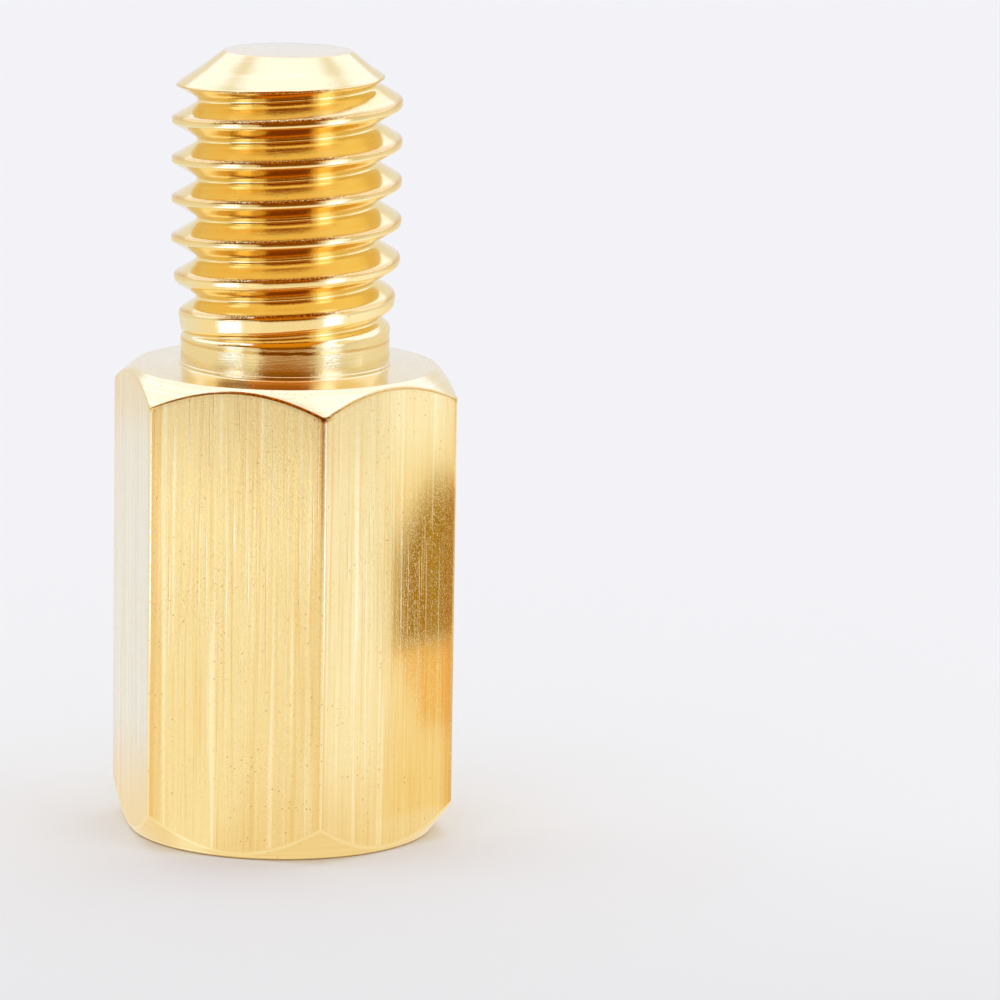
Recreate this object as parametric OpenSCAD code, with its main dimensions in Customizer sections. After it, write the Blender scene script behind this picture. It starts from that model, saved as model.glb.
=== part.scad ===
// Male-female hex standoff, turned in one piece from brass hex bar.
// Millimetres. The tapped end stands on z = 0 and the threaded stud points up +Z.
// Two opposite corners of the hexagon lie on the X axis, so a flat faces -Y.

/* [View] */
// Piece to show

/* [Hex body] */
// Size across the flats of the drawn bar
across_flats = 7.92; // [7.8:0.01:10]
// Length of the hexagon, from the tapped end to the shoulder
body_length = 12; // [12:0.5:40]
// Radius along the six long edges of the drawn bar
edge_radius = 0.15; // [0.05:0.05:0.4]
// Diameter of the flat ring left on each end face, as a share of the size across the flats
face_share = 0.972; // [0.94:0.002:0.99]
// Slope of the shoulder end's chamfer, measured from the end face
shoulder_chamfer_angle = 41; // [20:1:60]
// Slope of the tapped end's chamfer, measured from the end face
seat_chamfer_angle = 52; // [20:1:60]

/* [Stud] */
// Length of the stud, from the shoulder to its tip
stud_length = 8; // [6:0.5:20]
// Outside diameter over the crests of the thread
stud_major_d = 5.82; // [5.7:0.01:5.84]
// Pitch of the thread
thread_pitch = 1; // [0.75:0.05:1.25]
// Height above the shoulder at which the crest first passes over the +X side
first_crest_height = 0.68; // [0.5:0.01:0.75]
// Turns that the crest takes to rise out of the collar to its full height
runout_turns = 2.5; // [1:0.25:3]
// Diameter of the plain collar, the blank that the thread is rolled on
blank_d = 5.3; // [5.2:0.02:5.34]
// Length of the plain collar
collar_length = 0.75; // [0.7:0.05:1]
// Radius where the collar meets the shoulder
collar_fillet = 0.1; // [0.05:0.05:0.2]
// Diameter of the flat left at the stud's tip
tip_d = 3.24; // [2:0.02:4]
// Slope of the tip's chamfer, measured from the stud's axis
tip_chamfer_angle = 52; // [30:1:60]

/* [Tapped hole] */
// Bore left by the tapping drill
tapping_d = 5.1; // [4.9:0.05:5.2]
// Depth of the full bore, from the tapped end to the drill's shoulder
bore_depth = 9.5; // [6:0.5:10]
// Diameter of the countersunk mouth
countersink_d = 6.3; // [5.6:0.05:6.6]
// Included angle of the countersink
countersink_angle = 90; // [60:5:120]
// Included angle of the drill's point
drill_point_angle = 118; // [100:1:140]

/* [Hidden] */
brass = "#d9b25f";
$fn = 96;

// Blanks and cutters run this far past the faces that they make.
overrun = 1;

// The hexagon. Each long edge is an arc through the 60 degrees between two flats.
corners = 6;
corner_step = 360 / corners;
edge_facets = 5;
corner_r = across_flats / 2 / cos(corner_step / 2);
edge_centre_r = (across_flats / 2 - edge_radius) / cos(corner_step / 2);

// Each end is chamfered by a cone that starts just inside the flats.
face_r = face_share * across_flats / 2;
turning_r = corner_r + overrun;
seat_chamfer_height = (turning_r - face_r) * tan(seat_chamfer_angle);
shoulder_chamfer_height = (turning_r - face_r) * tan(shoulder_chamfer_angle);

// The 60 degree thread form: a crest flat of an eighth of the pitch, and 0.6134 of it deep.
flank_slope = tan(30);
crest_half_width = thread_pitch / 16;
crest_r = stud_major_d / 2;
root_r = crest_r - 0.6134 * thread_pitch;
collar_r = blank_d / 2;

// The stud's heights. The collar steps down to the thread's core in a 45 degree cone.
tip_z = body_length + stud_length;
collar_z = body_length + collar_length;
core_z = collar_z + collar_r - root_r;
fillet_facets = 4;

// The tip's chamfer, as a cone carried out past the crests.
tip_envelope_r = crest_r + overrun;
tip_chamfer_height = (tip_envelope_r - tip_d / 2) / tan(tip_chamfer_angle);

// The ridge. Its foot and its first end are sunk into the metal. The crest breaks out of
// the collar at a steep rise, stands just proud of it and then climbs over the run-out.
sink = 0.05;
foot_r = root_r - sink;
entry_rise = 1;
entry_r = collar_r + 0.03;
facets_per_turn = 48;
start_turn = -0.25;
end_turn = (stud_length - first_crest_height) / thread_pitch + 1;
ridge_steps = ceil((end_turn - start_turn) * facets_per_turn);

// The tapped hole's cutter.
tapping_r = tapping_d / 2;
countersink_r = countersink_d / 2;
countersink_slope = tan(countersink_angle / 2);
countersink_depth = (countersink_r - tapping_r) / countersink_slope;
drill_point_depth = tapping_r / tan(drill_point_angle / 2);

module rounded_hexagon() {
    polygon([
        for (corner = [0 : corners - 1], facet = [0 : edge_facets])
        let (
            middle = corner * corner_step,
            turn = middle + (facet / edge_facets - 0.5) * corner_step
        )
        edge_centre_r * [cos(middle), sin(middle)] + edge_radius * [cos(turn), sin(turn)]
    ]);
}

// The bar is longer than the body, and the turned blank below cuts both ends to length.
module hex_bar() {
    translate([0, 0, -overrun])
    linear_extrude(body_length + 2 * overrun)
    rounded_hexagon();
}

module chamfered_blank() {
    rotate_extrude()
    polygon([
        [0, 0],
        [face_r, 0],
        [turning_r, seat_chamfer_height],
        [turning_r, body_length - shoulder_chamfer_height],
        [face_r, body_length],
        [0, body_length]
    ]);
}

module hex_body() {
    intersection() {
        hex_bar();
        chamfered_blank();
    }
}

// The collar, its fillet and the thread's core, which reaches down into the body.
module stud_core() {
    rotate_extrude()
    polygon(concat(
        [
            [0, body_length - overrun],
            [collar_r + collar_fillet, body_length - overrun]
        ],
        [
            for (facet = [0 : fillet_facets])
            let (turn = 270 - 90 * facet / fillet_facets)
            [collar_r + collar_fillet, body_length + collar_fillet]
                + collar_fillet * [cos(turn), sin(turn)]
        ],
        [
            [collar_r, collar_z],
            [root_r, core_z],
            [root_r, tip_z + overrun],
            [0, tip_z + overrun]
        ]
    ));
}

// The crest's radius at a turn of the ridge.
function crest_radius(turn) =
    let (run = turn - start_turn)
    min(
        collar_r - sink + entry_rise * run,
        entry_r + (crest_r - entry_r) * run / runout_turns,
        crest_r
    );

// Half the ridge's width at a radius, between its two flanks.
function half_width(r) = crest_half_width + (crest_r - r) * flank_slope;

// The ridge's section at a turn: lower foot, lower crest, upper crest, upper foot.
function ridge_section(turn) =
    let (
        angle = 360 * turn,
        z = body_length + first_crest_height + thread_pitch * turn,
        crest = crest_radius(turn)
    )
    [
        for (point = [
            [foot_r, -half_width(foot_r)],
            [crest, -half_width(crest)],
            [crest, half_width(crest)],
            [foot_r, half_width(foot_r)]
        ])
        [point.x * cos(angle), point.x * sin(angle), z + point.y]
    ];

// A right-hand helix of four-point sections, skinned with triangles.
module thread_ridge() {
    sections = [
        for (step = [0 : ridge_steps])
        each ridge_section(start_turn + step / facets_per_turn)
    ];
    last = 4 * ridge_steps;
    skin = [
        for (step = [0 : ridge_steps - 1], side = [0 : 3])
        let (
            a = 4 * step + side,
            b = 4 * step + (side + 1) % 4
        )
        each [[a, b, b + 4], [a, b + 4, a + 4]]
    ];
    polyhedron(sections, concat(skin, [[3, 2, 1, 0], [last, last + 1, last + 2, last + 3]]));
}

module tip_envelope() {
    rotate_extrude()
    polygon([
        [0, body_length - 2 * overrun],
        [tip_envelope_r, body_length - 2 * overrun],
        [tip_envelope_r, tip_z - tip_chamfer_height],
        [tip_d / 2, tip_z],
        [0, tip_z]
    ]);
}

module stud() {
    intersection() {
        union() {
            stud_core();
            thread_ridge();
        }
        tip_envelope();
    }
}

// Countersink, drilled bore and drill point, as one turned cutter.
module tapped_hole() {
    rotate_extrude()
    polygon([
        [0, -overrun],
        [countersink_r + overrun * countersink_slope, -overrun],
        [tapping_r, countersink_depth],
        [tapping_r, bore_depth],
        [0, bore_depth + drill_point_depth]
    ]);
}

module standoff() {
    color(brass)
    difference() {
        union() {
            hex_body();
            stud();
        }
        tapped_hole();
    }
}

standoff();
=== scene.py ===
# %% [markdown]
# # A male-female hex standoff in brass
#
# A hex standoff is a spacer that holds two boards or panels apart. It is turned in one
# piece from drawn hexagon bar: a threaded stud stands on one end, and the other end is
# tapped to take a screw or the stud of the next standoff.
#
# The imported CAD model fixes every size. This lesson builds the finished skin of the same
# turned piece around it: rounded edges, a rolled thread, a tapped hole and worked brass.

# %% Load the frame
import math

import bpy
import numpy as np
from mathutils import Matrix, Vector


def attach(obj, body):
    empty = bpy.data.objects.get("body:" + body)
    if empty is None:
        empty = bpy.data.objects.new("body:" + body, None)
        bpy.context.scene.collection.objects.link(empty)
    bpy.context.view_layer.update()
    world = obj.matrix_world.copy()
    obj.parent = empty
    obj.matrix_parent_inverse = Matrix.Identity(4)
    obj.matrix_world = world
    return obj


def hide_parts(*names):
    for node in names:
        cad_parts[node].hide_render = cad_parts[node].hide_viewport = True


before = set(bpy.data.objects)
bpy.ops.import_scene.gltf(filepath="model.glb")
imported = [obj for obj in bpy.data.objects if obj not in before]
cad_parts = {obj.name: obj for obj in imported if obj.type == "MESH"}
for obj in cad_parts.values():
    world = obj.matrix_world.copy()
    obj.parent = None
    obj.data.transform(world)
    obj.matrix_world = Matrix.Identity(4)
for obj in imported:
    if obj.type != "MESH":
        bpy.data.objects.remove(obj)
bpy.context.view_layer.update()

scene = bpy.context.scene

# %% [markdown]
# ## The camera
#
# A small bright part is best taken from well back with a long lens, so that its upright
# edges stay nearly parallel. The lens looks a little down on the shoulder. The camera is
# turned in three steps, as a tripod head is: heading, then tilt, then roll.

# %% Place the camera
CAMERA_PLACE = (0.044527, -0.143469, 0.03777)
HEADING, TILT, ROLL = (math.radians(a) for a in (15.138, 11.006, 0.975))

camera_data = bpy.data.cameras.new("long_lens")
camera_data.sensor_width = 36.0
camera_data.lens = 215.98
camera_data.clip_start = 0.01
camera_data.clip_end = 10.0
camera = bpy.data.objects.new("long_lens", camera_data)
scene.collection.objects.link(camera)

camera.matrix_world = (
    Matrix.Translation(CAMERA_PLACE)
    @ Matrix.Rotation(HEADING, 4, "Z")
    @ Matrix.Rotation(math.pi / 2 - TILT, 4, "X")
    @ Matrix.Rotation(ROLL, 4, "Z")
)
scene.camera = camera
print("camera", [round(x * 1000, 1) for x in camera.location], "mm")

# %% [markdown]
# ## Columns round the bar
#
# Everything on this part is turned round one axis, apart from the six flats. So the whole
# skin can be one sheet of rings, as if it came off a lathe. Each ring has the same columns
# of points. Here the columns are set out: a fan of close ones round each rounded corner of
# the drawn hexagon, and even ones across each flat. Sizes are in millimetres until the end.

# %% Set out the columns
MM = 0.001
ACROSS_FLATS = 7.92
CORNER_RADIUS = 0.15
CORNER_FACETS = 6
FLAT_COLUMNS = 22
SIDE = math.radians(60)

half_flats = ACROSS_FLATS / 2
corner_centre = (half_flats - CORNER_RADIUS) / math.cos(SIDE / 2)
corner_turns = np.radians(np.linspace(-30, 30, CORNER_FACETS + 1))
corner_x = corner_centre + CORNER_RADIUS * np.cos(corner_turns)
corner_y = CORNER_RADIUS * np.sin(corner_turns)
corner_angles = np.arctan2(corner_y, corner_x)
corner_end = math.tan(SIDE / 2 - corner_angles[-1]) * half_flats
flat_offsets = np.linspace(corner_end, -corner_end, FLAT_COLUMNS + 2)[1:-1]
flat_angles = SIDE / 2 - np.arctan2(flat_offsets, half_flats)

side_angles = np.concatenate([corner_angles, flat_angles])
side_radii = np.concatenate(
    [np.hypot(corner_x, corner_y), half_flats / np.cos(flat_angles - SIDE / 2)]
)
angles = np.concatenate([side_angles + SIDE * side for side in range(6)])
bar_radius = np.tile(side_radii, 6)
COLUMNS = len(angles)
print(COLUMNS, "columns, from", bar_radius.min().round(3), "to", bar_radius.max().round(3))

# %% [markdown]
# ## Painted reflections along the long edges
#
# The six long edges aren't all alike. Most get a painted reflection: a bright highlight line
# with thin darker lines beside it. Low down, one gets the painted reflection of a brown part
# that stands beside it. So each point of the skin gets an edge tone, from 1, a painted
# highlight, to -1, darkest, for the materials to read. The tones are listed across one edge,
# column by column. A Bevel or a Pointiness node could find the edges, but couldn't tell one
# from another, and the export reads neither.

# %% Edge tones
# Painted reflection across an edge: thin darker lines, a bright highlight, darker lines.
HIGHLIGHT_EDGE = (-0.10, -0.15, -0.30, 0.8, 1.0, 0.8, -0.40, -0.15, -0.05)
HIGHLIGHT_DARKER_BESIDE = (-0.05, -0.15, -0.30, 0.8, 1.0, 0.8, -0.40, -0.35, -0.15)
# Painted reflection of a brown part beside the edge, dark all across.
BROWN_REFLECTION_EDGE = (-0.25, -0.50, -0.60, -0.60, -0.60, -0.60, -0.60, -0.40, -0.30)


def edge_tones(marks):
    """Tones of all columns, from the marks across each of the six long edges."""
    tones = np.zeros(COLUMNS)
    for side, mark in enumerate(marks):
        first = side * len(side_angles) - 1
        tones[np.arange(first, first + CORNER_FACETS + 3) % COLUMNS] = mark
    return tones


five_edges = [HIGHLIGHT_EDGE, HIGHLIGHT_DARKER_BESIDE, HIGHLIGHT_EDGE, HIGHLIGHT_DARKER_BESIDE, HIGHLIGHT_EDGE]
edges_above = edge_tones([HIGHLIGHT_EDGE] + five_edges)
# Low down, the first edge carries the painted brown reflection instead of a highlight.
edges_below = edge_tones([BROWN_REFLECTION_EDGE] + five_edges)
on_corner = np.arange(COLUMNS) % len(side_angles) <= CORNER_FACETS
print("columns on the six corners:", on_corner.sum())

# %% [markdown]
# ## Rings and the skin between them
#
# A ring is a row of points at given radii and heights. Two rings with the same columns are
# joined by a belt of four-sided faces, and a fan of three-sided ones closes the middle. Each
# face also remembers how it was finished on the real part: drawn, turned, rolled or tapped.
# That picks its material later.

# %% Rings and belts
FINISHES = ["turned", "drawn", "rolled", "tapped"]
points, point_tone = [], []
faces, face_finish = [], []


def ring(radius, height, tone=0.0):
    """Adds a ring of points and returns their numbers."""
    radius, height, tone = (np.broadcast_to(v, COLUMNS) for v in (radius, height, tone))
    first = len(points)
    points.extend(zip(radius * np.cos(angles), radius * np.sin(angles), height))
    point_tone.extend(tone)
    return list(range(first, first + COLUMNS))


def face(corners, finish):
    """Adds a face, leaving out corners that have run together."""
    kept = [c for i, c in enumerate(corners) if c != corners[i - 1]]
    if len(kept) > 2:
        faces.append(kept)
        face_finish.append(FINISHES.index(finish))


def belt(upper, lower, finish):
    """Joins two rings with a belt of faces."""
    for i in range(COLUMNS):
        j = (i + 1) % COLUMNS
        face([upper[i], lower[i], lower[j], upper[j]], finish)


def fan(round_ring, height, finish):
    """Closes a ring with a fan of faces round a new point on the axis."""
    points.append((0.0, 0.0, height))
    point_tone.append(0.0)
    centre = len(points) - 1
    for i in range(COLUMNS):
        face([centre, round_ring[i], round_ring[(i + 1) % COLUMNS]], finish)


print("finishes:", FINISHES)

# %% [markdown]
# ## Soft corners
#
# No turned corner is truly sharp. A tool tip leaves a radius, and a light tumble rounds the
# rest, so each edge catches a thin line of light. A Bevel modifier could do this, but it
# struggles where the slanted chamfer cuts the flats in arcs. Here each column carries its
# own path down the part, and every corner of the path is rounded in that column.

# %% Paths with rounded corners
def rounded(path, corners, steps=4):
    """Rows down a path. Each inner corner gets a rounding radius and an edge tone."""
    path = [np.stack(np.broadcast_arrays(r, z, bar_radius)[:2], -1) for r, z in path]
    rows = [(path[0], 0.0)]
    for before, corner, after, (radius, tone) in zip(path, path[1:], path[2:], corners):
        back, ahead = before - corner, after - corner
        back_length = np.linalg.norm(back, axis=-1)
        ahead_length = np.linalg.norm(ahead, axis=-1)
        cosine = (back * ahead).sum(-1) / (back_length * ahead_length)
        turn = math.pi - np.arccos(np.clip(cosine, -1, 1))
        reach = radius * np.tan(turn / 2)
        reach = np.minimum(reach, 0.45 * np.minimum(back_length, ahead_length))
        start = corner + back * (reach / back_length)[:, None]
        end = corner + ahead * (reach / ahead_length)[:, None]
        for share in np.linspace(0, 1, steps + 1):
            row = (1 - share) ** 2 * start + 2 * share * (1 - share) * corner + share**2 * end
            rows.append((row, tone * min(1, 2 - abs(4 * share - 2))))
    rows.append((path[-1], 0.0))
    return rows


def skin_path(start, rows, finishes):
    """Skins a path of rows from a ring onward. finishes gives (rows, finish) in turn."""
    upper = start
    queue = [finish for count, finish in finishes for _ in range(count)]
    for (row, tone), finish in zip(rows, queue):
        lower = ring(row[:, 0], row[:, 1], tone)
        belt(upper, lower, finish)
        upper = lower
    return upper


# %% [markdown]
# ## Sizes along the part
#
# These are the values of the CAD model. The standoff stands on its tapped end. The hexagon
# is chamfered at both ends, which cuts its flats in arcs.

# %% The main sizes
BODY = 12.0
TIP = BODY + 8.0
FACE_RADIUS = 0.972 * half_flats
SHOULDER_SLOPE = math.tan(math.radians(41))
SEAT_SLOPE = math.tan(math.radians(52))
COLLAR_RADIUS = 2.65
TIP_RADIUS = 1.62
TIP_SLOPE = math.tan(math.radians(52))
MOUTH_RADIUS = 3.15
BORE_RADIUS = 2.55
BORE_DEPTH = 9.5
POINT_DEPTH = BORE_RADIUS / math.tan(math.radians(59))
print("stud", TIP - BODY, "mm, body", BODY, "mm, bore", BORE_DEPTH, "mm deep")

# %% [markdown]
# ## The form of a thread
#
# A rolled thread isn't cut. Two hard dies squeeze grooves into a plain blank, and the metal
# that they push out rises between the grooves as the crest. So its roots and crests are
# rounded, its first and last turns fade, and the crest rises less where the groove beside it
# is shallow. A Screw modifier gives one even profile. Here the radius is a function of
# place instead, so the form can change along the stud.
#
# The smooth least and smooth greatest of two values blend them where they cross. They round
# the crest and the root as the dies do.

# %% Thread form
PITCH = 1.0
FLANK = math.tan(math.radians(60))
print("pitch", PITCH, "mm")


def soft_min(a, b, blend):
    """The lesser of two values, blended where they are within blend of each other."""
    share = np.clip(0.5 + 0.5 * (b - a) / blend, 0, 1)
    return b + (a - b) * share - blend * share * (1 - share)


def soft_max(a, b, blend):
    """The greater of two values, blended in the same way."""
    return -soft_min(-np.asarray(a), -np.asarray(b), blend)


def from_line(angle, height, first_height):
    """Distance above the nearest turn of a helical line, and that turn's own height."""
    turns = (height - first_height) / PITCH - angle / (2 * math.pi)
    above = (turns - np.round(turns)) * PITCH
    return above, height - above


# %% [markdown]
# ## The rolled stud
#
# The blank is a plain collar above the shoulder and a cone at the tip. The root's line falls
# from the collar to full depth within a turn. The crest climbs out of the collar more
# slowly, over two and a half turns. At the tip both are held under the cone, which the crest
# overruns a little as a lip. A fine line round the collar marks where the dies began.

# %% Outer limits of the stud
CREST_RADIUS = 2.91
ROOT_RADIUS = 2.27
ROOT_HALF_WIDTH = 0.046
FIRST_CREST = BODY + 0.68
GROOVE_STARTS, GROOVE_FULL_DEPTH = BODY + 0.6, BODY + 1.45
CREST_STARTS, CREST_FULL = BODY + 0.9, BODY + 3.0
NOTCH = BODY + 0.70
LIP = 0.06


def ramp(value, start, end):
    """0 before start, 1 after end and straight between them."""
    return np.clip((value - start) / (end - start), 0, 1)


def crest_radius(height):
    """Radius of the crest at each height, with the line where the dies began."""
    rise = ramp(height, CREST_STARTS, CREST_FULL)
    below_line = 0.006 * ramp(height, NOTCH - 0.4, NOTCH) ** 2 * (height < NOTCH)
    above_line = -0.004 * ramp(-height, -NOTCH - 0.2, -NOTCH) ** 2 * (height >= NOTCH)
    crest = COLLAR_RADIUS + below_line + above_line
    crest = crest + (CREST_RADIUS - COLLAR_RADIUS) * rise * (1.3 - 0.3 * rise)
    cone = TIP_RADIUS + (TIP - height) * TIP_SLOPE
    lip = LIP * ramp(-height, -TIP + 0.4, -TIP + 0.7)
    return soft_min(crest, cone + lip, 0.06)


print("crest", CREST_RADIUS, "mm, root", ROOT_RADIUS, "mm")

# %% [markdown]
# ## Grooves and crest marks
#
# The groove is a V with a rounded root, cut by the limits above. Its lower flank starts
# slacker where the thread runs out. The crest's lower edge gets painted shade: a dark tone,
# strongest on the side that faces the camera.

# %% Radius of the stud
# The bearing of the side that faces the camera, where the painted shade on the crests is strongest.
SHADED_CREST_SIDE = math.radians(284)


def stud_radius(angle, height):
    """Radius of the rolled stud at each angle and height, and the tone of its edges."""
    crest = crest_radius(height)
    above, line = from_line(angle, height, FIRST_CREST + PITCH / 2)
    groove = ramp(line, GROOVE_STARTS, GROOVE_FULL_DEPTH)
    above = above - 0.09 * ramp(-line, -BODY - 1.35, -BODY - 1.15)
    lower_slope = 0.75 + 0.25 * ramp(line, BODY + 1.0, BODY + 1.4)
    slope = FLANK * np.where(above < 0, lower_slope, 1)
    root = COLLAR_RADIUS - (COLLAR_RADIUS - ROOT_RADIUS) * groove
    flank = root + (np.abs(above) - ROOT_HALF_WIDTH * groove) * slope
    rise = ramp(height, CREST_STARTS, CREST_FULL)
    ridge = soft_min(crest, flank, (0.07 + 0.22 * (1 - rise)) * groove + 0.001)
    radius = np.minimum(soft_max(ridge, root, 0.08 * groove + 0.001), crest)

    # Painted shade: a dark tone along the crest's lower edge, strongest toward the camera.
    lower_edge = (above < 0) | (height > TIP - 0.95)
    dark_edge = ramp(-np.abs(flank - crest), -0.12, -0.04) * lower_edge
    dark_edge = dark_edge * ramp(height, BODY + 1.0, BODY + 1.3)
    dark_edge = dark_edge * (0.5 + 0.5 * ramp(np.cos(angle - SHADED_CREST_SIDE), 0.80, 0.93))
    line_mark = 0.5 * ramp(-np.abs(height - NOTCH), -0.04, -0.01)
    return radius, -np.maximum(dark_edge, line_mark)


# %% [markdown]
# ## The tapped hole
#
# A tap cuts its thread outward from the drilled bore, so the crests keep the drill's
# diameter and the grooves reach out to the screw's. A countersink opens the mouth first.
# The tap's lead leaves the last turns shallow.

# %% Radius of the tapped hole
GROOVE_RADIUS = 3.0
GROOVE_FULL, GROOVE_ENDS = 7.4, 9.0
FIRST_GROOVE = 0.35


def hole_radius(angle, height):
    """Radius of the tapped hole at each angle and height, with no edge tone."""
    depth = (GROOVE_RADIUS - BORE_RADIUS) * (1 - ramp(height, GROOVE_FULL, GROOVE_ENDS))
    above, _ = from_line(angle, height, FIRST_GROOVE)
    flank = GROOVE_RADIUS + (PITCH / 16 - np.abs(above)) * FLANK
    groove = soft_min(BORE_RADIUS + depth, flank, 0.1)
    mouth = MOUTH_RADIUS - height
    return soft_max(soft_max(groove, BORE_RADIUS, 0.09), mouth, 0.03), np.zeros(COLUMNS)


print("hole", BORE_RADIUS, "to", GROOVE_RADIUS, "mm in radius")

# %% [markdown]
# ## Skinning a helix between two level rings
#
# Level rings would cut across a helix in steps. So each row of a threaded band climbs one
# pitch per turn and joins the row that starts a pitch higher. Rows that would leave the band
# are held at its level end rings, and the faces that this squeezes flat are left out.

# %% Threaded bands
def threaded_band(form_at, high, low, rows_per_turn, finish, high_ring, low_ring):
    """Skins a helix between the rings at heights high and low."""
    step = PITCH / rows_per_turn
    first = math.floor((low - PITCH) / step)
    last = math.ceil(high / step)
    rows = []
    for k in range(first, last + 1):
        heights = k * step + PITCH * angles / (2 * math.pi)
        inside = (heights > low + step / 4) & (heights < high - step / 4)
        radii, tones = form_at(angles, heights)
        row = np.where(heights > low + step, high_ring, low_ring)
        row[inside] = len(points) + np.arange(inside.sum())
        places = np.stack([radii * np.cos(angles), radii * np.sin(angles), heights], -1)
        points.extend(places[inside])
        point_tone.extend(tones[inside])
        rows.append(row.tolist())
    rows += [high_ring] * (rows_per_turn + 1)
    for k in range(last - first + 1):
        for i in range(COLUMNS):
            j = (i + 1) % COLUMNS
            wrap = 0 if j else rows_per_turn
            if k + 1 + wrap < len(rows):
                face([rows[k][i], rows[k + wrap][j], rows[k + 1 + wrap][j], rows[k + 1][i]], finish)


# %% [markdown]
# ## Skinning the stud
#
# The skin starts at the middle of the tip, goes down the stud, over the shoulder, down the
# flats and round the seat, and ends up the hole at the drill's point, as one closed skin.
# Here it goes from the tip to the collar.

# %% Tip and stud
BAND_TOP = TIP - 0.3
BAND_FOOT = BODY + 0.25

band_top_radius = stud_radius(angles, np.full(COLUMNS, BAND_TOP))[0]
tip_path = [(0.4, TIP), (TIP_RADIUS, TIP), (band_top_radius, BAND_TOP)]
tip_rows = rounded(tip_path, [(0.06, -0.3)])
first_ring = ring(*tip_rows[0][0].T)
fan(first_ring, TIP, "turned")
stud_top = skin_path(first_ring, tip_rows[1:], [(len(tip_rows) - 2, "turned"), (1, "rolled")])

stud_foot = ring(COLLAR_RADIUS, BAND_FOOT)
threaded_band(stud_radius, BAND_TOP, BAND_FOOT, 32, "rolled", stud_top, stud_foot)
print("stud skinned:", len(faces), "faces")

# %% [markdown]
# ## Collar, shoulder, flats and seat
#
# This path is the outline that the lathe tool and the bar leave together. Each corner has
# its rounding and its tone: the foot of the collar is crisp, the arcs where the chamfer meets
# the flats are darker, more on some flats than on others, the lower arcs get a painted
# highlight, and the edge on the table gets a painted contact shadow. The collar stands on a
# ledge as low as a scratch, where the tool stopped. Two more rings go round the flats, so
# that the painted brown reflection on one long edge can end partway up.

# %% Collar, shoulder, flats and seat
LEDGE_RADIUS = COLLAR_RADIUS + 0.025
LEDGE = BODY + 0.10
# Heights at which the painted brown reflection on one long edge ends.
BROWN_REFLECTION_ENDS = (9.6, 9.0)
NICK_HEIGHT = 0.09
CORNER_ROWS = 5
# How much darker the arcs under the shoulder chamfer are, round the part.
ARC_DARKNESS_AT = (0, 30, 90, 150, 180, 236, 246, 300, 308, 330)
ARC_DARKNESS = (-0.55, -0.80, -0.45, -0.80, -0.20, -0.15, -0.70, -1.00, -0.62, -0.50)

arc_darkness = np.interp(np.degrees(angles), ARC_DARKNESS_AT, ARC_DARKNESS, period=360)
shoulder_arcs = BODY - (bar_radius - FACE_RADIUS) * SHOULDER_SLOPE
seat_arcs = (bar_radius - FACE_RADIUS) * SEAT_SLOPE
body_path = [
    (COLLAR_RADIUS, BAND_FOOT),
    (COLLAR_RADIUS, LEDGE + 0.015),
    (LEDGE_RADIUS, LEDGE),
    (LEDGE_RADIUS, BODY),
    (FACE_RADIUS, BODY),
    (bar_radius, shoulder_arcs),
    (bar_radius, seat_arcs),
    (FACE_RADIUS, 0.0),
    (MOUTH_RADIUS, 0.0),
    (MOUTH_RADIUS - 0.1, 0.1),
]
collar_corners = [(0.01, 0), (0.01, 0), (0.06, 0)]
# The last of these corners, the lower arcs, gets a painted highlight.
flat_corners = [(0.04, -0.2), (0.12, arc_darkness), (0.2, 0.7)]
# The first seat corner, on the table, gets a painted contact shadow.
seat_corners = [(0.06, -0.5), (0.035, 0)]
body_rows = rounded(body_path, collar_corners + flat_corners + seat_corners)

above_flats = 5 * CORNER_ROWS
(flat_top, _), (flat_foot, _) = body_rows[above_flats : above_flats + 2]
body_rows[above_flats : above_flats + 2] = [
    (flat_top, np.where(on_corner, arc_darkness, edges_above)),
    (flat_top - (0, NICK_HEIGHT), edges_above),
    (np.stack([bar_radius, np.full(COLUMNS, BROWN_REFLECTION_ENDS[0])], -1), edges_above),
    (np.stack([bar_radius, np.full(COLUMNS, BROWN_REFLECTION_ENDS[1])], -1), edges_below),
    (flat_foot, edges_below),
]
body_finishes = [(above_flats, "turned"), (4, "drawn"), (3 * CORNER_ROWS, "turned")]
hole_mouth = skin_path(stud_foot, body_rows[1:], body_finishes)
print("body skinned:", len(faces), "faces")

# %% [markdown]
# ## Up the tapped hole
#
# The hole's thread is half as fine as the stud's in rows, because it is seen only from
# below. Above it the drill has left a plain wall and a cone of 118 degrees.

# %% Tapped hole
HOLE_TOP = BORE_DEPTH - 0.3
hole_top = ring(BORE_RADIUS, HOLE_TOP)
threaded_band(hole_radius, HOLE_TOP, 0.1, 16, "tapped", hole_top, hole_mouth)
point_path = [
    (BORE_RADIUS, HOLE_TOP),
    (BORE_RADIUS, BORE_DEPTH),
    (0.3, BORE_DEPTH + POINT_DEPTH * (1 - 0.3 / BORE_RADIUS)),
]
point_rows = rounded(point_path, [(0.05, 0)])
last_ring = skin_path(hole_top, point_rows[1:], [(len(point_rows), "tapped")])
fan(last_ring, BORE_DEPTH + POINT_DEPTH, "tapped")
print("hole skinned:", len(faces), "faces")

# %% [markdown]
# ## From lists to a mesh
#
# Blender takes the points and faces as lists. bmesh then turns all faces outward and counts
# the edges that don't have two faces, because a real part has no open edge. The skin is
# smooth-shaded all over, and the Weighted Normal modifier then keeps each broad face's own
# direction up to the small rounds beside it, so that flats reflect as flats.

# %% Make the piece
import bmesh

mesh = bpy.data.meshes.new("brass_standoff")
mesh.from_pydata([tuple(float(c) * MM for c in p) for p in points], [], faces)
mesh.polygons.foreach_set("material_index", face_finish)
mesh.update()

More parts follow.
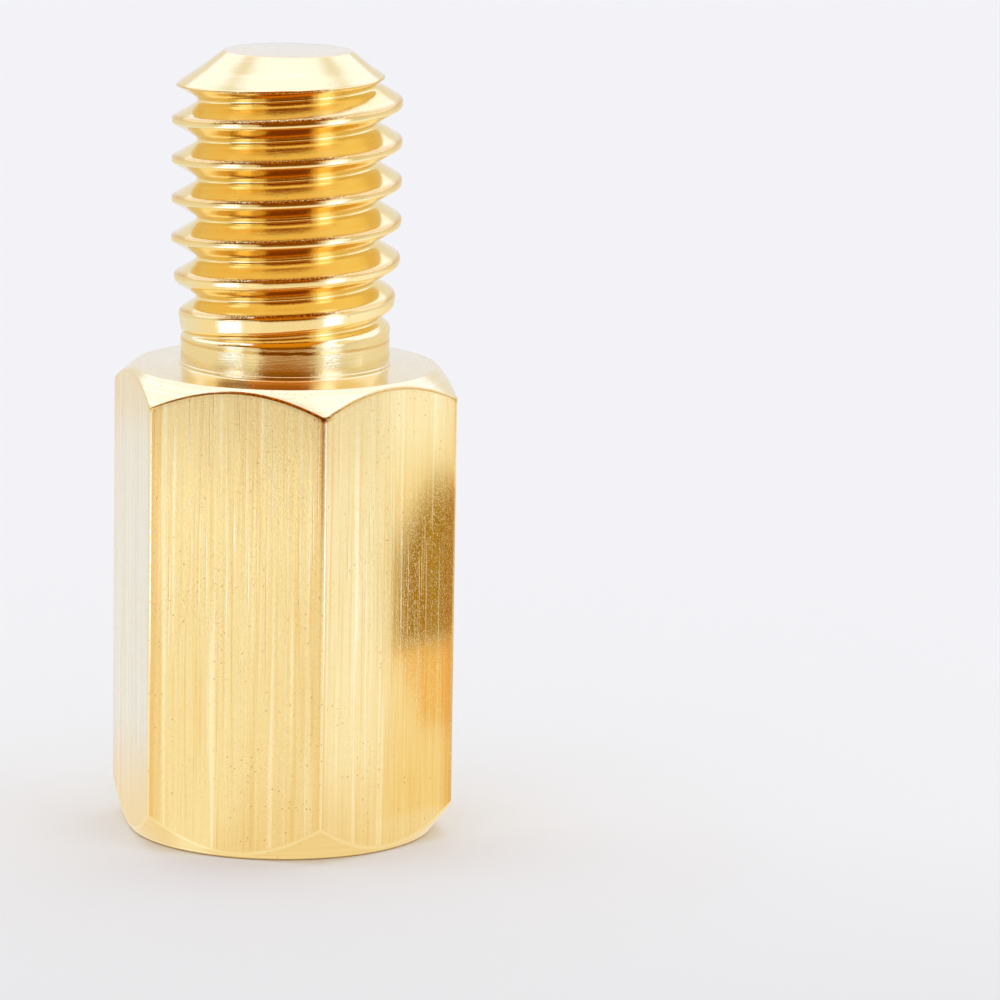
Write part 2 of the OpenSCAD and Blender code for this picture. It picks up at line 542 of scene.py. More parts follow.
skin = bmesh.new()
skin.from_mesh(mesh)
bmesh.ops.recalc_face_normals(skin, faces=skin.faces)
open_edges = sum(1 for edge in skin.edges if len(edge.link_faces) != 2)
volume = skin.calc_volume() * 1e9
skin.to_mesh(mesh)
skin.free()
mesh.shade_smooth()

tone = mesh.attributes.new("edge_tone", "FLOAT", "POINT")
tone.data.foreach_set("value", np.array(point_tone, np.float32))

standoff = bpy.data.objects.new("brass_standoff", mesh)
scene.collection.objects.link(standoff)
weighted = standoff.modifiers.new("true_flats", "WEIGHTED_NORMAL")
weighted.mode = "FACE_AREA"
weighted.weight = 50
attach(standoff, "root")
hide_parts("standoff")
print(len(mesh.polygons), "faces,", open_edges, "open edges,", round(volume, 1), "mm3")

# %% [markdown]
# ## Small tools for building node trees
#
# A material is a tree of nodes. In code, each node takes three or four lines to make, set and
# link, so short helpers do that here. spread is a Map Range node: it turns one range of
# values into another, and is what makes a soft mask out of a noise.

# %% Node helpers
def add_node(tree, kind, inputs=None, **settings):
    """Adds a node, sets its settings, and fills or links its inputs."""
    node = tree.nodes.new("ShaderNode" + kind)
    for name, value in settings.items():
        setattr(node, name, value)
    for name, value in (inputs or {}).items():
        if isinstance(value, bpy.types.NodeSocket):
            tree.links.new(value, node.inputs[name])
        else:
            node.inputs[name].default_value = value
    return node


def calc(tree, operation, *values):
    """Adds a Math node and returns its result."""
    return add_node(tree, "Math", dict(enumerate(values)), operation=operation).outputs[0]


def spread(tree, value, low, high, out_low=0.0, out_high=1.0):
    """Maps a value from low..high to out_low..out_high, clamped."""
    inputs = {"Value": value, 1: low, 2: high, 3: out_low, 4: out_high}
    return add_node(tree, "MapRange", inputs).outputs[0]


def mix(tree, factor, first, second):
    """Mixes two colours."""
    inputs = {"Factor": factor, 6: first, 7: second}
    return add_node(tree, "Mix", inputs, data_type="RGBA").outputs[2]


# %% [markdown]
# ## Node groups
#
# Each pattern is a node group, built once and then placed in several materials. All three
# line patterns give the same outputs: a height, and masks of the bright and the dark lines.

# %% Groups and vectors
LINE_OUTPUTS = ["Height", "Bright", "Dark"]
DARK_ASIDE, SCRATCH_ASIDE, GLINT_ASIDE = (31, 17, 5), (11, 47, 23), (7, 3, 9)


def new_group(name, numbers, outputs):
    """Starts a shader node group with named number inputs and outputs."""
    group = bpy.data.node_groups.new(name, "ShaderNodeTree")
    for title, value in numbers.items():
        socket = group.interface.new_socket(title, in_out="INPUT", socket_type="NodeSocketFloat")
        socket.default_value = value
    for title in outputs:
        group.interface.new_socket(title, in_out="OUTPUT", socket_type="NodeSocketFloat")
    taken, given = group.nodes.new("NodeGroupInput"), group.nodes.new("NodeGroupOutput")
    return group, taken.outputs, given.inputs


def combined(tree, x, y, z):
    """A vector from three values."""
    return add_node(tree, "CombineXYZ", {0: x, 1: y, 2: z}).outputs[0]


def scaled(tree, vector, by):
    """A vector times a number."""
    return add_node(tree, "VectorMath", {0: vector, "Scale": by}, operation="SCALE").outputs[0]


def moved(tree, vector, by):
    """A vector moved along, so that two noises of one pattern don't line up."""
    return add_node(tree, "VectorMath", {0: vector, 1: by}, operation="ADD").outputs[0]


# %% [markdown]
# ## Patterns that follow the part
#
# All the marks on this part are noise that has been laid out in a useful direction: along
# the bar, round the axis or along the thread. The coordinates are the object's own, in
# millimetres, so the marks keep their true size and stay on the metal from every side. An
# image texture would need an unwrapped mesh, and would blur when seen close.

# %% Places and noises
def in_mm(tree):
    """Object coordinates in millimetres."""
    return scaled(tree, add_node(tree, "TexCoord").outputs["Object"], 1000.0)


def round_axis(tree):
    """Coordinates x, y and z in millimetres, and the distance from the axis."""
    x, y, z = add_node(tree, "SeparateXYZ", {0: in_mm(tree)}).outputs
    squares = calc(tree, "ADD", calc(tree, "MULTIPLY", x, x), calc(tree, "MULTIPLY", y, y))
    return x, y, z, calc(tree, "SQRT", squares)


def noise(tree, vector, scale, detail=2.0, w=None):
    """Adds a noise texture and returns its value."""
    inputs = {"Vector": vector, "Scale": scale, "Detail": detail}
    dimensions = "3D"
    if w is not None:
        inputs["W"], dimensions = w, "4D"
    return add_node(tree, "TexNoise", inputs, noise_dimensions=dimensions).outputs[0]


def sum_of_noises(tree, vector, scales, shares, w=None):
    """Sum of noises, each with its own scale and share."""
    total = 0.0
    for scale, share in zip(scales, shares):
        total = calc(tree, "MULTIPLY_ADD", noise(tree, vector, scale, w=w), share, total)
    return total


# %% [markdown]
# ## Lines of the drawing die
#
# Hexagon bar is pulled through a hard die, which leaves fine straight lines all along the
# flats. Here the noise is squeezed across the bar and stretched seventy times along it.
# Broad bands hold the bright lines in groups, as a worn die does. A few narrow scratches are
# deeper, so that they catch light from another direction than the flat.

# %% Drawn lines
DRAWN_INPUTS = {"Stretch": 70.0, "Spacing": 0.1}
drawn, drawn_in, drawn_out = new_group("drawn_lines", DRAWN_INPUTS, LINE_OUTPUTS)
squash = combined(drawn, 1.0, 1.0, calc(drawn, "DIVIDE", 1.0, drawn_in["Stretch"]))
squeezed = {0: in_mm(drawn), 1: squash}
place = add_node(drawn, "VectorMath", squeezed, operation="MULTIPLY").outputs[0]
place = scaled(drawn, place, calc(drawn, "DIVIDE", 1.0, drawn_in["Spacing"]))

lines = sum_of_noises(drawn, place, [0.25, 0.8, 2.4], [0.4, 0.35, 0.25])
scratches = spread(drawn, noise(drawn, moved(drawn, place, SCRATCH_ASIDE), 1.6, 0.0), 0.68, 0.74)
drawn.links.new(calc(drawn, "MULTIPLY_ADD", scratches, -0.4, lines), drawn_out["Height"])

bands = spread(drawn, noise(drawn, place, 0.22, 1.0), 0.40, 0.60)
bright = spread(drawn, noise(drawn, place, 0.9, 1.0), 0.54, 0.66)
drawn.links.new(calc(drawn, "MULTIPLY", bright, bands), drawn_out["Bright"])
dark = spread(drawn, noise(drawn, moved(drawn, place, DARK_ASIDE), 1.3), 0.50, 0.75)
drawn.links.new(dark, drawn_out["Dark"])
print("drawn_lines:", len(drawn.nodes), "nodes")

# %% [markdown]
# ## Rings of the lathe tool
#
# The shoulder, the chamfers, the collar and the two end faces are cut on a lathe, and the
# tool leaves rings finer than a tenth of a millimetre. The noise reads the distance from the
# axis and the height, so its marks run round the part. The direction round the axis goes in
# too, but much more slowly, so that a ring comes and goes along its way.

# %% Turned rings
turned, turned_in, turned_out = new_group("turned_rings", {"Spacing": 0.06}, LINE_OUTPUTS)
x, y, z, rho = round_axis(turned)
near_axis = calc(turned, "ADD", rho, 0.3)
ring_place = combined(
    turned,
    calc(turned, "DIVIDE", rho, turned_in["Spacing"]),
    calc(turned, "DIVIDE", z, turned_in["Spacing"]),
    calc(turned, "DIVIDE", x, near_axis),
)
around = calc(turned, "DIVIDE", y, near_axis)
rings = sum_of_noises(turned, ring_place, [0.25, 1.0], [0.6, 0.4], w=around)
turned.links.new(rings, turned_out["Height"])
bright = spread(turned, noise(turned, ring_place, 0.6, w=around), 0.55, 0.75)
turned.links.new(bright, turned_out["Bright"])
dark = noise(turned, moved(turned, ring_place, DARK_ASIDE), 0.9, w=around)
turned.links.new(spread(turned, dark, 0.52, 0.75), turned_out["Dark"])
print("turned_rings:", len(turned.nodes), "nodes")

# %% [markdown]
# ## Lines of the rolling dies
#
# The dies drag the metal along the thread, so its flanks are finely lined in the direction
# of the helix. The bearing less a full turn for each pitch of height is the phase of the
# helix, and it is the same all along a turn. Noise that reads it makes lines which wind up
# the stud with the thread.

# %% Rolled lines
ROLLED_INPUTS = {"Lines Per Turn": 24.0}
rolled, rolled_in, rolled_out = new_group("rolled_lines", ROLLED_INPUTS, LINE_OUTPUTS)
x, y, z, rho = round_axis(rolled)
bearing = calc(rolled, "ARCTAN2", y, x)
phase = calc(rolled, "SUBTRACT", calc(rolled, "MULTIPLY", z, 2 * math.pi / PITCH), bearing)
reach = calc(rolled, "DIVIDE", rolled_in["Lines Per Turn"], 2 * math.pi)
helix_place = combined(
    rolled,
    calc(rolled, "MULTIPLY", calc(rolled, "COSINE", phase), reach),
    calc(rolled, "MULTIPLY", calc(rolled, "SINE", phase), reach),
    calc(rolled, "MULTIPLY", x, 0.8),
)
around = calc(rolled, "MULTIPLY", y, 0.8)
lines = sum_of_noises(rolled, helix_place, [0.3, 1.0], [0.4, 0.6], w=around)
rolled.links.new(lines, rolled_out["Height"])
bright = spread(rolled, noise(rolled, helix_place, 0.8, w=around), 0.55, 0.75)
rolled.links.new(bright, rolled_out["Bright"])
print("rolled_lines, so far:", len(rolled.nodes), "nodes")

# %% [markdown]
# ## Painted shade in the grooves
#
# The die polishes the crest. The groove is painted a deeper yellow: painted shade, for the
# light that bounces between the flanks. The same group finds the groove by how far a place
# lies below the crest.

# %% Grooves
dark = noise(rolled, moved(rolled, helix_place, DARK_ASIDE), 1.1, w=around)
dark = spread(rolled, dark, 0.45, 0.72, 0.55, 1.0)
cone = calc(rolled, "MULTIPLY_ADD", z, -TIP_SLOPE, TIP_RADIUS + TIP * TIP_SLOPE)
run_out = spread(rolled, z, CREST_STARTS, CREST_STARTS + 1.5, COLLAR_RADIUS, CREST_RADIUS)
crest = calc(rolled, "MINIMUM", calc(rolled, "MINIMUM", cone, run_out), CREST_RADIUS)
in_groove = spread(rolled, calc(rolled, "SUBTRACT", crest, rho), 0.08, 0.32, 0.15, 1.0)
# Painted shade: the dark lines fill the grooves.
rolled.links.new(calc(rolled, "MULTIPLY", dark, in_groove), rolled_out["Dark"])
print("rolled_lines:", len(rolled.nodes), "nodes")

# %% [markdown]
# ## Grain, dust, glints and pits
#
# Close to, brass is never smooth. It has a fine grain, glinting spots where a crystal was
# smeared flat, dull dust in patches, and now and then a dark pit. Grain and dust are noise.
# A pit is the middle of a Voronoi cell, kept only in the few cells that a random number
# picks, and only where the patches are.

# %% Grain and specks
SPECK_INPUTS = {"Speck Size": 0.018, "Share": 0.1, "Grain Size": 0.032}
SPECK_CELLS = 11.0
specks, specks_in, specks_out = new_group(
    "grain_and_specks", SPECK_INPUTS, ["Pit", "Grain", "Dust", "Glint"]
)
place = in_mm(specks)
patches = spread(specks, noise(specks, place, 0.6), 0.4, 0.65)

cells = add_node(specks, "TexVoronoi", {"Vector": place, "Scale": SPECK_CELLS})
speck_radius = calc(specks, "MULTIPLY", specks_in["Speck Size"], SPECK_CELLS)
near = calc(specks, "LESS_THAN", cells.outputs["Distance"], speck_radius)
chance = add_node(specks, "SeparateXYZ", {0: cells.outputs["Color"]}).outputs[0]
picked = calc(specks, "LESS_THAN", chance, calc(specks, "MULTIPLY", specks_in["Share"], patches))
specks.links.new(calc(specks, "MULTIPLY", near, picked), specks_out["Pit"])

grain_place = scaled(specks, place, calc(specks, "DIVIDE", 1.0, specks_in["Grain Size"]))
glints = noise(specks, moved(specks, grain_place, GLINT_ASIDE), 1.1, 0.0)
specks.links.new(spread(specks, glints, 0.60, 0.80), specks_out["Glint"])
grain = noise(specks, grain_place, 1.0, 1.0)
specks.links.new(grain, specks_out["Grain"])
dust = calc(specks, "MULTIPLY", spread(specks, grain, 0.54, 0.66), patches)
specks.links.new(dust, specks_out["Dust"])
print("grain_and_specks:", len(specks.nodes), "nodes")

# %% [markdown]
# ## Marks along the edges
#
# This group turns each point's edge tone into three masks. Above zero, the edge gets a
# painted highlight. A little below zero it turns orange, and far below zero dark brown, in
# dots that the grain breaks up. These darker tones are mostly painted shade and dark
# reflections.

# %% Edge marks
EDGE_OUTPUTS = ["Rubbed", "Orange Edge", "Dark Dots"]
marks, marks_in, marks_out = new_group("edge_marks", {"Grain": 0.5}, EDGE_OUTPUTS)
tone = add_node(marks, "Attribute", attribute_name="edge_tone").outputs["Fac"]
# Painted highlight.
marks.links.new(spread(marks, tone, 0.2, 0.8), marks_out["Rubbed"])
# Orange: painted dark reflections and shade along the edges, and the darker arcs.
marks.links.new(spread(marks, tone, -0.35, -0.03, 1.0, 0.0), marks_out["Orange Edge"])
broken = spread(marks, marks_in["Grain"], 0.42, 0.52, 0.15, 1.0)
# Dark brown dots: painted shade on the crests, and the darker arcs.
dark_edge = calc(marks, "MULTIPLY", spread(marks, tone, -0.90, -0.40, 1.0, 0.0), broken)
marks.links.new(dark_edge, marks_out["Dark Dots"])
print("edge_marks:", len(marks.nodes), "nodes")

# %% [markdown]
# ## The colours of worked brass
#
# A metal has no body colour, as paint has. Its Base Color is the tint that it gives to its
# reflections. Brass reflects red well, green a little less and blue badly. Fresh scratches
# are paler, and oil and oxide make the tint deeper.

# %% Brass colours
BRASS = (0.92, 0.71, 0.32, 1.0)
# Pale brass: fresh scratches, and the painted highlights along the edges.
PALE_BRASS = (0.99, 0.84, 0.47, 1.0)
DEEP_BRASS = (0.84, 0.55, 0.17, 1.0)
# Painted shade in the thread's grooves.
GROOVE_SHADE_BRASS = (0.93, 0.66, 0.20, 1.0)
# Orange for the painted dark reflections and shade along the edges.
EDGE_ORANGE = (0.80, 0.42, 0.07, 1.0)
PIT_BROWN = (0.55, 0.32, 0.09, 1.0)
# Darkest edge tone: painted shade on the crests, and the darker arcs.
EDGE_BROWN = (0.20, 0.07, 0.004, 1.0)
print("brass", BRASS[:3])

# %% [markdown]
# ## One recipe for four finishes
#
# All four finishes are the same metal, so they share one recipe: lines, specks and edge marks
# tint the colour, the heights of lines, grain and glints feed one Bump node, and the lines
# vary the roughness. Only the amounts differ. Heights are in micrometres. A faint coat stands
# for the film of oil that parts are shipped in.

# %% The recipe
COAT_WEIGHT = 0.04
COAT_ROUGHNESS = 0.12
MICROMETRE = 1e-6


def brass_finish(name, pattern, deep, roughness, heights, shares, tint):
    """A brass material.

    roughness: least and greatest. heights: lines, grain and glints.
    shares: dark lines, bright lines, dust and pits.
    """
    material = bpy.data.materials.new(name)
    material.use_nodes = True
    tree = material.node_tree
    lines = add_node(tree, "Group", node_tree=pattern).outputs
    dots = add_node(tree, "Group", {"Share": shares[3]}, node_tree=specks).outputs
    edges = add_node(tree, "Group", {"Grain": dots["Grain"]}, node_tree=marks).outputs

    colour = BRASS
    for mask, share, other in (
        # In the thread and the hole, the dark lines fill the grooves as painted shade.
        (lines["Dark"], shares[0], deep),
        (lines["Bright"], shares[1], PALE_BRASS),
        (dots["Dust"], shares[2], deep),
        # Painted highlight along the edges.
        (edges["Rubbed"], 0.7, PALE_BRASS),
        # Painted dark reflections and shade along the edges.
        (edges["Orange Edge"], 0.55, EDGE_ORANGE),
        # Dark dots: painted shade on the crests, and the darker arcs.
        (edges["Dark Dots"], 0.97, EDGE_BROWN),
        (dots["Pit"], 1.0, PIT_BROWN),
    ):
        colour = mix(tree, calc(tree, "MULTIPLY", mask, share), colour, other)

    height = calc(tree, "MULTIPLY", dots["Grain"], heights[1])
    height = calc(tree, "MULTIPLY_ADD", dots["Glint"], heights[2], height)
    height = calc(tree, "MULTIPLY_ADD", lines["Height"], heights[0], height)
    bump = add_node(tree, "Bump", {"Height": height, "Distance": MICROMETRE})

    shader = tree.nodes["Principled BSDF"].inputs
    tree.links.new(colour, shader["Base Color"])
    tree.links.new(spread(tree, lines["Height"], 0.3, 0.7, *roughness), shader["Roughness"])
    tree.links.new(bump.outputs[0], shader["Normal"])
    shader["Metallic"].default_value = 1.0
    shader["Specular Tint"].default_value = tint
    shader["Coat Weight"].default_value = COAT_WEIGHT
    shader["Coat Roughness"].default_value = COAT_ROUGHNESS
    mesh.materials.append(material)
    print(name, "roughness", roughness, "heights", heights)


# %% [markdown]
# ## The four finishes
#
# The slots are filled in the order of the list of finishes, because each face already holds
# its number in that list. The drawn flats have the strongest lines. The rolled thread is the
# brightest, and its specular tint keeps even a glancing reflection golden in the grooves.
# The tapped hole is rougher, as a tap tears a little where a die presses.

# %% Fill the four slots
CLEAR, GOLDEN = (1.0, 1.0, 1.0, 1.0), (0.97, 0.92, 0.8, 1.0)
RECIPES = {
    "turned": (turned, DEEP_BRASS, (0.11, 0.19), (1.0, 1.5, 1.5), (0.4, 0.4, 0.3, 0.05), CLEAR),
    "drawn": (drawn, DEEP_BRASS, (0.08, 0.18), (5.0, 1.5, 2.4), (0.7, 0.85, 0.5, 0.12), CLEAR),
    # The deep tints of the rolled and tapped finishes paint shade in the grooves.
    "rolled": (rolled, GROOVE_SHADE_BRASS, (0.06, 0.15), (1.8, 1.2, 0.5), (1.0, 0.3, 0.3, 0.05), GOLDEN),
    "tapped": (rolled, DEEP_BRASS, (0.15, 0.25), (2.0, 0.5, 0.0), (0.5, 0.3, 0.2, 0.03), GOLDEN),
}
for finish in FINISHES:
    brass_finish(finish + "_brass", *RECIPES[finish])

# %% [markdown]
# ## A sheet of pale paper
#
# Small parts are set on a sheet of matt paper under soft light. The sheet is one large
# square, so that its edge is far away from every side. It is a little darker right before
# the part, where a lens and its hood keep some light off.

# %% Floor
FLOOR_HALF = 3.0
FAR_PAPER, NEAR_PAPER = (0.91, 0.91, 0.925, 1), (0.79, 0.79, 0.785, 1)
NEAR_PAPER_AT = 0.03

floor_mesh = bpy.data.meshes.new("studio_floor")
corners = [(-FLOOR_HALF, -FLOOR_HALF, 0), (FLOOR_HALF, -FLOOR_HALF, 0)]
corners += [(FLOOR_HALF, FLOOR_HALF, 0), (-FLOOR_HALF, FLOOR_HALF, 0)]
floor_mesh.from_pydata(corners, [], [(0, 1, 2, 3)])
floor = bpy.data.objects.new("studio_floor", floor_mesh)
scene.collection.objects.link(floor)

paper = bpy.data.materials.new("pale_paper")
paper.use_nodes = True
tree = paper.node_tree
toward = {0: add_node(tree, "TexCoord").outputs["Object"], 1: camera.location.normalized()}
forward = add_node(tree, "VectorMath", toward, operation="DOT_PRODUCT").outputs["Value"]
paper_colour = mix(tree, spread(tree, forward, 0.0, NEAR_PAPER_AT), FAR_PAPER, NEAR_PAPER)
paper_shader = tree.nodes["Principled BSDF"].inputs
tree.links.new(paper_colour, paper_shader["Base Color"])
paper_shader["Roughness"].default_value = 1.0
paper_shader["Specular IOR Level"].default_value = 0.0
floor_mesh.materials.append(paper)
print("floor", 2 * FLOOR_HALF, "m square")

# %% [markdown]
# ## Light from all round
#
# The part stands in a light tent: white cloth on all sides that glows evenly, so that its
# shadow is faint and has no edge. The World does this with one Background node. Its colour
# meets the paper's own at the horizon and is a little lighter higher up.

# %% World
world = bpy.data.worlds.new("light_tent")
scene.world = world
world.use_nodes = True
sky = world.node_tree
up = add_node(sky, "SeparateXYZ", {0: add_node(sky, "TexCoord").outputs["Generated"]}).outputs[2]
rising = spread(sky, up, 0.03, 0.30)
sky_colour = mix(sky, rising, (0.87, 0.87, 0.90, 1), (0.99, 0.99, 1.01, 1))
sky.links.new(sky_colour, sky.nodes["Background"].inputs["Color"])
sky.nodes["Background"].inputs["Strength"].default_value = 1.0
print("world", world.name)

# %% [markdown]
# ## What the metal sees
#
# A shiny metal part shows little of itself. It shows the room. In a studio, white boxes and
# dark cards are moved round it until the reflections draw its form: pale chamfers, a dark
# middle in the thread, bright streaks beside it. Lamps would add hard shadows here. These
# cards glow, but only the metal's reflections can see them.
#
# A card's colour is stored at its corners and blended between them, so that its edges can be
# soft. It is kept as a quarter of its value and made four times as strong by the shader.

# %% Cards for the reflections
CARD_STRENGTH = 4.0
card_shine = bpy.data.materials.new("card_shine")
card_shine.use_nodes = True
tree = card_shine.node_tree
tree.nodes.clear()
glow = add_node(tree, "Attribute", attribute_name="glow").outputs["Color"]
light = add_node(tree, "Emission", {"Color": glow, "Strength": CARD_STRENGTH})
add_node(tree, "OutputMaterial", {"Surface": light.outputs[0]})


def card(name, rows, columns, point_at):
    """A glowing card, for reflections. point_at gives place and colour at a row and column."""
    grid = [point_at(row, column) for row in rows for column in columns]
    count = len(columns)
    last_row = len(grid) - count
    quads = [(a, a + 1, a + count + 1, a + count) for a in range(last_row) if (a + 1) % count]
    sheet = bpy.data.meshes.new(name)
    sheet.from_pydata([place for place, tone in grid], [], quads)
    tint = sheet.attributes.new("glow", "FLOAT_COLOR", "POINT")
    flat = [c / CARD_STRENGTH for place, tone in grid for c in (*tone, CARD_STRENGTH)]
    tint.data.foreach_set("color", flat)
    sheet.materials.append(card_shine)
    piece = bpy.data.objects.new(name, sheet)
    scene.collection.objects.link(piece)
    piece.visible_camera = piece.visible_diffuse = piece.visible_shadow = False
    piece.visible_transmission = piece.visible_volume_scatter = False
    print(name, len(quads), "quads")


def blend(a, b, share):
    """A colour between two others."""
    return tuple(p + (q - p) * float(share) for p, q in zip(a, b))


# %% [markdown]
# ## Cards bent over the part
#
# Most cards are bent over the part like a hoop. A hoop card is given by elevations: below 0
# is the table before the part, 90 is overhead and 180 behind. Its left and right ends are
# shares of its distance, and may change on the way up.

# %% Hoop cards
CARD_CENTRE = Vector((0, 0, 12 * MM))
LEAST_HEIGHT = 0.2 * MM
HOOP_COLUMNS = 24
to_camera = Vector((camera.location.x, camera.location.y, 0)).normalized()
to_right = Vector((-to_camera.y, to_camera.x, 0))


def hoop_card(name, stops, distance, tone_at, step=4):
    """A card bent over the part. stops are (elevation, left share, right share)."""
    stop_at, stop_left, stop_right = zip(*stops)

    def point_at(elevation, share):
        left = np.interp(elevation, stop_at, stop_left)
        right = np.interp(elevation, stop_at, stop_right)
        climb = math.radians(elevation)
        forward = to_camera * math.cos(climb) + Vector((0, 0, math.sin(climb)))
        side = left + (right - left) * share
        place = to_right * side + forward * math.sqrt(1 - side**2)
        place = CARD_CENTRE + place * distance * MM
        place.z = max(place.z, LEAST_HEIGHT)
        return place, tone_at(elevation, share)

    elevations = np.arange(stop_at[0], stop_at[-1] + step, step)
    card(name, elevations, np.linspace(0, 1, HOOP_COLUMNS + 1), point_at)


# %% [markdown]
# ## Dark cards
#
# The dark card before the part draws the brown middle of the collar and the dark middle of
# the thread. It is umber low down and amber where the flanks look up into it. A second one
# at the left gives the chamfer its darker end.

# %% Dark cards
WHITE = (1.0, 1.0, 1.04)
UMBER = (0.20, 0.07, 0.003)
AMBER = (0.74, 0.29, 0.005)
TABLE_AMBER = (0.38, 0.14, 0.0)
WING_GREY = (0.4, 0.3, 0.2)
DARK_CARD = [
    (-11, -0.56, 0.60),
    (-9, -0.56, 0.60),
    (-7, -0.47, 0.58),
    (1, -0.47, 0.56),
    (14, -0.66, 0.50),
    (50, -0.62, 0.52),
    (77, -0.46, 0.50),
]


def dark_tone(elevation, share):
    """Umber, then amber, and white along both sides."""
    if elevation < -5:
        centre = TABLE_AMBER
    else:
        centre = blend(UMBER, AMBER, ramp(elevation, 10, 34))
    return blend(centre, WHITE, ramp(abs(share - 0.5), 0.46, 0.5))


def wing_tone(elevation, share):
    """Umber, greyer toward the outer side."""
    return blend(UMBER, WING_GREY, share)


hoop_card("dark_card", DARK_CARD, 60, dark_tone)
hoop_card("left_wing", [(17, -0.60, -0.97), (56, -0.58, -0.97)], 56, wing_tone)

# %% [markdown]
# ## Light boxes
#
# A low box and a high one stand at each side, and make the bright streaks on the thread and
# the collar. A long box overhead whitens the chamfers. Their light is bluish, because brass
# takes most of the blue out again. Two duller gaps in the overhead box give the tip's cone
# its soft grey patches.

# %% Light boxes
BOX = (1.45, 1.7, 2.8)
HIGH_BOX = (1.5, 2.1, 4.6)
TOP = (1.20, 1.42, 2.4)
TOP_FRONT = (1.35, 1.6, 2.7)
GAP = (0.92, 1.0, 1.3)
GAP_AT = 111
BACK = (0.89, 0.96, 1.18)


def box_tone(brightness):
    """The tone of a box that fades to white at its two ends."""
    return lambda elevation, share: blend(brightness, WHITE, ramp(abs(share - 0.5), 0.3, 0.5))


def top_tone(elevation, share):
    """Brighter toward the camera."""
    return blend(TOP_FRONT, TOP, ramp(elevation, 88, 100))


def gap_tone(elevation, share):
    """Dull in the middle, fading out at the edges."""
    edge = max(ramp(abs(share - 0.5), 0.1, 0.5), ramp(abs(elevation - GAP_AT), 4, 12))
    return blend(GAP, TOP, edge)


for name, stops, brightness in (
    ("left_box", [(-12, -0.93, -0.70), (15, -0.93, -0.72)], BOX),
    ("left_high_box", [(60, -0.64, -0.47), (80, -0.60, -0.45)], HIGH_BOX),
    ("right_box", [(-12, 0.64, 0.94), (50, 0.55, 0.74)], BOX),
    ("right_high_box", [(54, 0.53, 0.70), (80, 0.49, 0.62)], HIGH_BOX),
):
    hoop_card(name, stops, 52, box_tone(brightness))
hoop_card("top_box", [(79, -0.95, 0.95), (150, -0.95, 0.95)], 80, top_tone)
for name, left, right in (("left_gap", -0.50, -0.28), ("right_gap", 0.28, 0.50)):
    hoop_card(name, [(99, left, right), (123, left, right)], 70, gap_tone, step=2)
hoop_card("back_card", [(152, -0.8, 0.8), (178, -0.95, 0.95)], 90, lambda e, s: BACK)

# %% [markdown]
# ## The tabletop in the metal
#
# Upright flats reflect the table before them, each height of the flat another distance on
# it. So the table is painted as a light too: cooler to the right, warm at the part's foot,
# dark far out in front, and bright at both sides of that.

# %% Tabletop glow
TABLE_WHITE = (1.0, 0.98, 0.96)
COOL = (1.08, 1.17, 1.42)
TABLE_BACK = (0.90, 1.0, 1.27)
TABLE_FOOT = (0.96, 0.88, 0.75)
BESIDE_NEAR, BESIDE_FAR = (1.05, 1.07, 1.10), (1.36, 1.42, 1.52)
GLOW_FROM, GLOW_TO, GLOW_HEIGHT = 3.88, 59, 0.05


def table_tone(distance, bearing):
    """Colour of the tabletop in the metal, by distance in mm and bearing from the camera."""
    tone = blend(TABLE_WHITE, COOL, ramp(-abs(bearing - 85), -60, -10))
    tone = blend(tone, TABLE_BACK, ramp(-bearing, 95, 130))
    tone = blend(tone, TABLE_FOOT, ramp(-distance, -14, -4))
    if abs(bearing) >= 80:
        return tone
    side = math.sin(math.radians(bearing))
    streak = ramp(distance, 22, 30) * ramp(-abs(abs(side + 0.045) - 0.82), -0.12, -0.08)
    tone = blend(tone, HIGH_BOX, streak)
    beside = blend(BESIDE_NEAR, BESIDE_FAR, ramp(distance, 40, 55))
    tone = blend(tone, beside, ramp(-abs(side + 0.57), -0.16, -0.06))
    dark = ramp(distance, 30, 57) ** 2 * ramp(side, -0.44, -0.34) * ramp(-side, -0.60, -0.48)
    return blend(tone, TABLE_AMBER, dark)


def table_point(distance, bearing):
    """A place on the tabletop and its colour."""
    turn = math.radians(bearing)
    place = (to_camera * math.cos(turn) + to_right * math.sin(turn)) * distance * MM
    place.z = GLOW_HEIGHT * MM
    return place, table_tone(distance, bearing)


distances = np.geomspace(GLOW_FROM, GLOW_TO, 26)
card("table_glow", distances, np.linspace(-180, 180, 73), table_point)

# %% [markdown]
# ## A brown card beside the right-hand flat
#
# The flat at the right reflects something brown that stands close beside it. A small card
# 3 mm away gives that patch, with an orange tail below it and the cool table round it. Its
# edges are ragged: each column of the card starts and ends at a random height, and has its
# own random lightness. A fixed seed makes every run draw the same streaks.

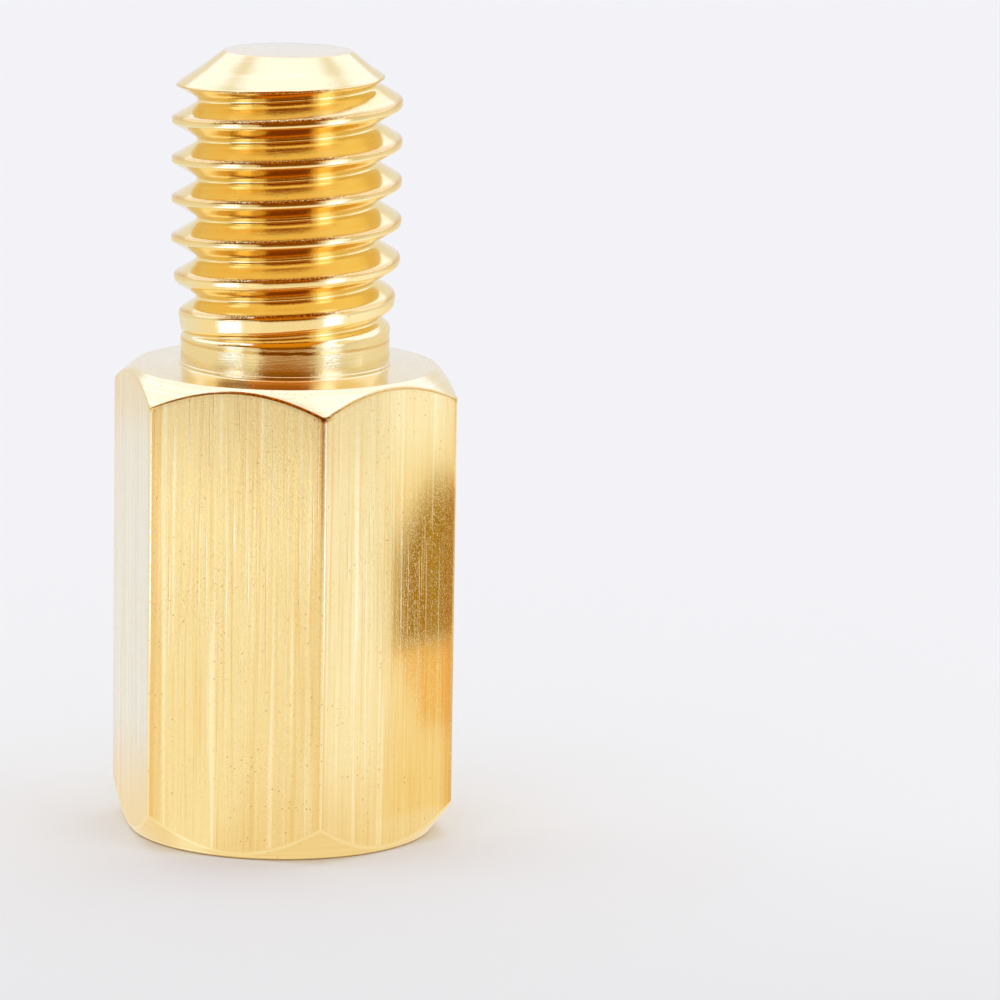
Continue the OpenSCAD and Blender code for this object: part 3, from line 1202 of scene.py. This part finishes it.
# %% Brown card
CARD_AWAY = 3.0
FRONT_CORNER = Vector((half_flats * math.tan(SIDE / 2), -half_flats, 0))
LOW_TABLE = (0.93, 0.83, 0.68)
GOLDEN_HALO = (1.0, 0.87, 0.55)
ORANGE = (0.92, 0.55, 0.08)
DARK_BROWN, LIGHT_BROWN = (0.29, 0.15, 0.0), (0.66, 0.44, 0.02)


def heading_vector(degrees):
    """A level vector from its bearing."""
    return Vector((math.cos(math.radians(degrees)), math.sin(math.radians(degrees)), 0))


def brown_tone(height, along, lightness, shift):
    """Colour of the card by its height and its place along the flat, in mm."""
    left = 2.4 + 1.1 * ramp(-height, -4.4, -1.8)
    orange = ramp(along, left, left + 0.4) * ramp(-height, -4.7, -4.5) * ramp(height, 1.4, 2.6)
    orange *= 0.75 + 0.25 * lightness
    top = 8.3 + 1.5 * ramp(along, 2.7, 3.7) - 0.9 * shift
    brown = ramp(along, 2.25 + 0.2 * shift, 2.75)
    foot = 4.15 + 0.5 * shift
    brown *= ramp(-height, -top, -top + 1.2) * ramp(height, foot, foot + 0.3)
    halo = 0.7 * ramp(along, 1.9, 2.6) * ramp(-height, -10.5, -8.5)
    tone = blend(COOL, LOW_TABLE, ramp(-height, -3.5, -1.0))
    tone = blend(tone, ORANGE, orange)
    tone = blend(tone, GOLDEN_HALO, halo * (1 - orange))
    return blend(tone, blend(DARK_BROWN, LIGHT_BROWN, lightness**2), brown)


def brown_point(height, streak):
    """A place on the card and its colour. streak is (along, lightness, shift)."""
    place = (FRONT_CORNER + along_flat * streak[0] + away) * MM
    place.z = height * MM
    return place, brown_tone(height, *streak)


away, along_flat = heading_vector(12.8) * CARD_AWAY, heading_vector(60)
steps_along = np.linspace(2.0, 4.9, 73)
random_draws = np.random.default_rng(7).random((2, len(steps_along)))
streaks = list(zip(steps_along, *random_draws))
card("brown_card", np.linspace(0.1, 11.5, 77), streaks, brown_point)

# %% [markdown]
# ## True colours
#
# Blender's default view squeezes highlights to fit a film-like range, which greys a pale
# picture. The Standard view shows the colours as they are, so white paper stays white.

# %% View
scene.view_settings.view_transform = "Standard"
print("view", scene.view_settings.view_transform)
